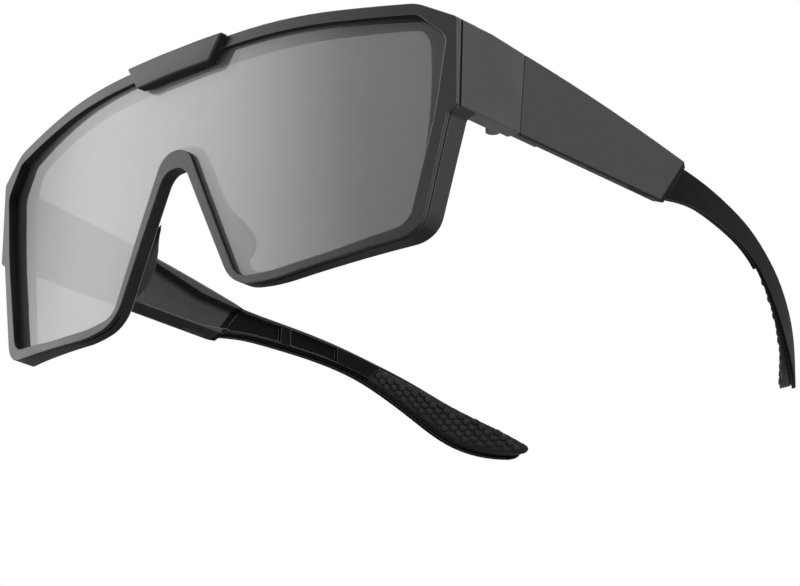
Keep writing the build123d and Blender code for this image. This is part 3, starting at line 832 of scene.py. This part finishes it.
def plain_copy(node, name, material):
    """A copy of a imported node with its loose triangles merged."""
    mesh = node.data.copy()
    mesh.name = name
    shape = bmesh.new()
    shape.from_mesh(mesh)
    bmesh.ops.remove_doubles(shape, verts=shape.verts, dist=merge_gap)
    bmesh.ops.dissolve_limit(shape, angle_limit=flat_angle, verts=shape.verts, edges=shape.edges)
    shape.to_mesh(mesh)
    shape.free()
    mesh.materials.clear()
    mesh.materials.append(material)
    piece = bpy.data.objects.new(name, mesh)
    bpy.context.scene.collection.objects.link(piece)
    return piece


def baked(piece):
    """The piece with its modifiers taken into a plain mesh."""
    graph = bpy.context.evaluated_depsgraph_get()
    mesh = bpy.data.meshes.new_from_object(piece.evaluated_get(graph))
    piece.modifiers.clear()
    piece.data = mesh


def soft_lips(piece, voxel, rounds):
    """Skins the piece anew in an even grid and smooths it, so that its lips turn round."""
    remesh = piece.modifiers.new("skin", "REMESH")
    remesh.mode = "VOXEL"
    remesh.voxel_size = voxel
    smooth = piece.modifiers.new("soft", "SMOOTH")
    smooth.factor = smooth_share
    smooth.iterations = rounds
    baked(piece)
    piece.data.shade_smooth()


print("lips smoothed by", smooth_share, "in each round")

# %% [markdown]
# ## Nose saddle
# The saddle is one soft band over the nose arch, with a pad on each side that rests on the nose. It
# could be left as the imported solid, which has the right size but looks like hard plastic. The
# rounded copy takes its place, rides on the front, and wears the rubber.

# %% Nose saddle
saddle_voxel = 0.00035
saddle_rounds = 6


def nose_saddle():
    """The saddle with rounded lips and soft pads."""
    piece = plain_copy(nodes["nose_saddle"], "nose_saddle_rubber", rubber)
    soft_lips(piece, saddle_voxel, saddle_rounds)
    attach(piece, "front")
    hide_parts("nose_saddle")
    return piece


saddle = nose_saddle()
print("nose saddle faces", len(saddle.data.polygons))

# %% [markdown]
# ## One scale
# The inner face of each arm end carries rounded six-sided scales that keep it on the head. One
# scale is a flat six-sided plate that is raised in three steps, each a little smaller than the
# last, which gives it a domed top for few faces. Its underside is closed and sunk a little into the
# grip, so that no gap shows at its foot.

# %% One scale
grip_start, grip_run = box_of(nodes["temple_grip_left"])
middle_along, middle_up = 0.4849, 0.5105
scale_sizes = {
    "Pitch": 0.00215, "Row": 0.00160, "Length": 0.00186, "Width": 0.00184, "Height": 0.00038,
    "Sink": 0.00012, "Tilt": math.radians(9), "Side": 1.0,
    "Centre Y": grip_start.y + middle_along * grip_run.y,
    "Centre Z": grip_start.z + middle_up * grip_run.z,
}
scale_sides = 6
half_corner = math.radians(180 / scale_sides)
ring_radius = 0.5
scale_steps = ((0.62, 1.0), (0.26, 0.84), (0.12, 0.72))
scale_merge = 1e-6


def one_scale(p):
    """A six-sided rounded scale that lies along X and stands up along Z."""
    ring = p.node("GeometryNodeMeshCircle", {
        "Vertices": scale_sides, "Radius": ring_radius}, fill_type="NGON")
    on_edge = p.node("GeometryNodeTransform", {
        "Geometry": ring.outputs[0], "Rotation": (0.0, 0.0, half_corner)})
    length = p.math("DIVIDE", p.size("Length"), math.cos(half_corner))
    flat = p.node("GeometryNodeTransform", {
        "Geometry": on_edge.outputs[0], "Scale": p.vector(length, p.size("Width"), 1.0)})
    shape, top = flat.outputs[0], None
    for share, shrink in scale_steps:
        lift = p.math("MULTIPLY", p.math("ADD", p.size("Height"), p.size("Sink")), share)
        up = p.node("GeometryNodeExtrudeMesh", {
            "Mesh": shape, "Offset": p.vector(0.0, 0.0, 1.0), "Offset Scale": lift,
            "Individual": False}, mode="FACES")
        if top is not None:
            p.tree.links.new(top, up.inputs["Selection"])
        top = up.outputs["Top"]
        small = p.node("GeometryNodeScaleElements", {
            "Geometry": up.outputs["Mesh"], "Selection": top, "Scale": shrink})
        shape = small.outputs[0]
    under = p.node("GeometryNodeFlipFaces", {"Mesh": flat.outputs[0]})
    merged = p.node("GeometryNodeMergeByDistance", {
        "Geometry": p.joined(shape, under.outputs[0]), "Distance": scale_merge})
    return merged.outputs[0]


print("steps of a scale", len(scale_steps))
print("grip runs in mm", [round(1000 * v, 1) for v in grip_run])

# %% [markdown]
# ## Rows of scales
# On the real arm the scales are cut into the mould as one repeating pattern, every other row moved
# by half a pitch, like honeycomb. Placing a hundred scales by hand would drift, and would be lost
# when the arm changes. Here a grid of points carries them, and it is tilted to the way that the arm
# runs down to its tip.

# %% Rows of scales
rows_each_way = 16
columns_each_way = 20
row_shift = 0.5


def staggered_grid(p):
    """Points in rows, every other row shifted, tilted to the way that the arm runs."""
    columns, rows = 2 * columns_each_way + 1, 2 * rows_each_way + 1
    grid = p.node("GeometryNodeMeshGrid", {
        "Size X": p.math("MULTIPLY", p.size("Pitch"), columns - 1.0),
        "Size Y": p.math("MULTIPLY", p.size("Row"), rows - 1.0),
        "Vertices X": columns, "Vertices Y": rows})
    split = p.node("ShaderNodeSeparateXYZ", {0: p.node("GeometryNodeInputPosition").outputs[0]})
    along, across = split.outputs[0], split.outputs[1]
    row = p.math("ROUND", p.math("DIVIDE", across, p.size("Row")))
    odd = p.math("MULTIPLY", p.math("FLOORED_MODULO", row, 2.0), row_shift)
    along = p.math("ADD", along, p.math("MULTIPLY", odd, p.size("Pitch")))
    cosine, sine = p.math("COSINE", p.size("Tilt")), p.math("SINE", p.size("Tilt"))
    turned_y = p.math("SUBTRACT", p.math("MULTIPLY", along, cosine),
                      p.math("MULTIPLY", across, sine))
    turned_z = p.math("ADD", p.math("MULTIPLY", along, sine),
                      p.math("MULTIPLY", across, cosine))
    spot = p.vector(0.0, p.math("ADD", turned_y, p.size("Centre Y")),
                    p.math("ADD", turned_z, p.size("Centre Z")))
    placed = p.node("GeometryNodeSetPosition", {"Geometry": grid.outputs["Mesh"], "Position": spot})
    return placed.outputs[0], p.vector(0.0, cosine, sine)


print("points in the grid", (2 * rows_each_way + 1) * (2 * columns_each_way + 1))

# %% [markdown]
# ## Landing on the grip
# The grip is curved and narrows to its tip, and the real scales stop before its border. A mask
# could be drawn, but would not follow a changed grip. So each point is thrown along X against the
# grip, and four more throws around it test that a whole scale has room there.

# %% Landing on the grip
margin_along, margin_across = 0.5, 0.55
throw_reach = 0.2


def throw(p, offset=None):
    """Throws each point along X against the grip, from its place or from beside it."""
    start = p.node("GeometryNodeInputPosition").outputs[0]
    if offset is not None:
        start = p.node("ShaderNodeVectorMath", {0: start, 1: offset}).outputs[0]
    return p.node("GeometryNodeRaycast", {
        "Target Geometry": p.way_in.outputs["Geometry"], "Source Position": start,
        "Ray Direction": p.vector(p.size("Side"), 0.0, 0.0), "Ray Length": throw_reach})


def well_inside(p, centre):
    """True where the point and four more around it all hit the grip."""
    inside = centre.outputs["Is Hit"]
    reach_y = p.math("MULTIPLY", p.size("Length"), margin_along)
    reach_z = p.math("MULTIPLY", p.size("Width"), margin_across)
    for sign_y, sign_z in ((1.0, 0.0), (-1.0, 0.0), (0.0, 1.0), (0.0, -1.0)):
        near = throw(p, p.vector(0.0, p.math("MULTIPLY", reach_y, sign_y),
                                 p.math("MULTIPLY", reach_z, sign_z)))
        inside = p.node("FunctionNodeBooleanMath", {0: inside, 1: near.outputs["Is Hit"]},
                        operation="AND").outputs[0]
    return inside


print("margins in shares of a scale", margin_along, margin_across)

# %% [markdown]
# ## The whole pattern
# The last step brings it together: a point that landed well carries one scale, which stands on the
# surface and runs along the arm. The turn of each scale, and whether it has room, are kept as named
# values on the points, because the throws come first and the points then move to where they land.

# %% Scale pattern
def grip_pattern(material):
    """The whole pattern: a staggered grid, thrown against the grip, with a scale on each hit."""
    p = Pattern("grip_scales", scale_sizes)
    points, run = staggered_grid(p)
    centre = throw(p)
    upright = p.node("FunctionNodeAlignRotationToVector", {
        "Vector": centre.outputs["Hit Normal"]}, axis="Z")
    lying = p.node("FunctionNodeAlignRotationToVector", {
        "Rotation": upright.outputs[0], "Vector": run}, axis="X", pivot_axis="Z")
    deep = p.node("ShaderNodeVectorMath", {
        0: centre.outputs["Hit Normal"], "Scale": p.math("MULTIPLY", p.size("Sink"), -1.0)},
        operation="SCALE")
    landing = p.node("ShaderNodeVectorMath", {
        0: centre.outputs["Hit Position"], 1: deep.outputs[0]})
    keep_turn = p.node("GeometryNodeStoreNamedAttribute", {
        "Geometry": points, "Name": "turn", "Value": lying.outputs[0]},
        data_type="QUATERNION", domain="POINT")
    keep_inside = p.node("GeometryNodeStoreNamedAttribute", {
        "Geometry": keep_turn.outputs[0], "Name": "inside", "Value": well_inside(p, centre)},
        data_type="BOOLEAN", domain="POINT")
    landed = p.node("GeometryNodeSetPosition", {
        "Geometry": keep_inside.outputs[0], "Position": landing.outputs[0]})
    picked = p.node("GeometryNodeInputNamedAttribute", {"Name": "inside"}, data_type="BOOLEAN")
    turn = p.node("GeometryNodeInputNamedAttribute", {"Name": "turn"}, data_type="QUATERNION")
    carried = p.node("GeometryNodeInstanceOnPoints", {
        "Points": landed.outputs[0], "Selection": picked.outputs[0],
        "Instance": one_scale(p), "Rotation": turn.outputs[0]})
    real = p.node("GeometryNodeRealizeInstances", {"Geometry": carried.outputs[0]})
    finish = p.node("GeometryNodeSetMaterial", {"Geometry": real.outputs[0], "Material": material})
    return p.close(p.joined(p.way_in.outputs["Geometry"], finish.outputs[0]))


scale_tree = grip_pattern(rubber)
print("pattern nodes", len(scale_tree.nodes))

# %% [markdown]
# ## Grips
# Each grip is a thin rubber layer that is moulded onto the arm. It gets the same soft lips as the
# saddle, and then the pattern throws its scales onto the rounded form, so that they follow it to
# the tip. The layer carries painted shade, a deeper black in the grooves, which makes the scales
# stand out.

# %% Grips
grip_voxel = 0.00026
grip_rounds = 12


def arm_grip(side_name, body, side):
    """A grip on one arm: the thin rubber layer with rounded lips, and the scales on it."""
    name = "temple_grip_" + side_name
    # the grip layer wears the rubber with painted shade for its grooves
    piece = plain_copy(nodes[name], name + "_rubber", painted_shade_rubber)
    soft_lips(piece, grip_voxel, grip_rounds)
    pattern = piece.modifiers.new("scales", "NODES")
    pattern.node_group = scale_tree
    for item in scale_tree.interface.items_tree:
        if item.item_type == "SOCKET" and item.in_out == "INPUT" and item.name in scale_sizes:
            pattern[item.identifier] = side if item.name == "Side" else scale_sizes[item.name]
    baked(piece)
    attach(piece, body)
    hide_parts(name)
    return piece


for side_name, side in (("left", 1.0), ("right", -1.0)):
    grip = arm_grip(side_name, "temple_%s_body" % side_name, side)
    print(grip.name, "faces", len(grip.data.polygons))

# %% [markdown]
# ## View
# The colours are written as they should look, so the view adds no look of its own.

bpy.context.scene.view_settings.view_transform = "Standard"
